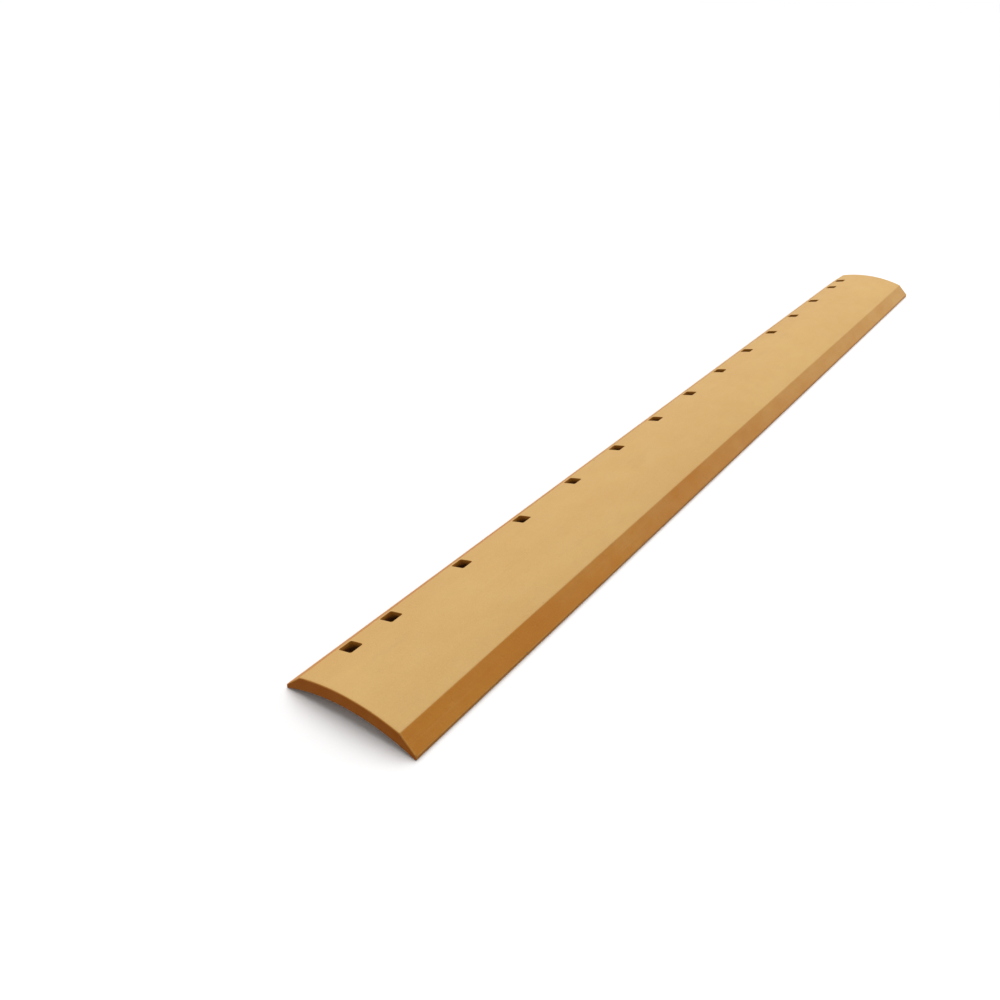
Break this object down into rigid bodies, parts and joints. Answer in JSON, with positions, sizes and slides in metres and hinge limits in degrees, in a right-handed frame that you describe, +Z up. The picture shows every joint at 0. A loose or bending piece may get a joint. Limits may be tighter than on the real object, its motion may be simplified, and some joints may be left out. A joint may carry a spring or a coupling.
{
  "type": "curved cutting edge",
  "caption": "Long arched steel cutting edge for an earthmoving blade, bevelled along both long edges, with a row of square bolt holes that have coned seats on the concave face.",
  "frame": {"origin": "on the surface that the blade lies on, under the middle of its length and width", "axes": "+X along the blade, +Y across it towards the bolt row, +Z up from the surface, with the convex face up"},
  "size_m": [2.1336, 0.2032, 0.0389],
  "materials": {
    "ochre_paint": "satin"
  },
  "bodies": {
    "root": {"cutting_edge": "ochre_paint"}
  },
  "joints": []
}
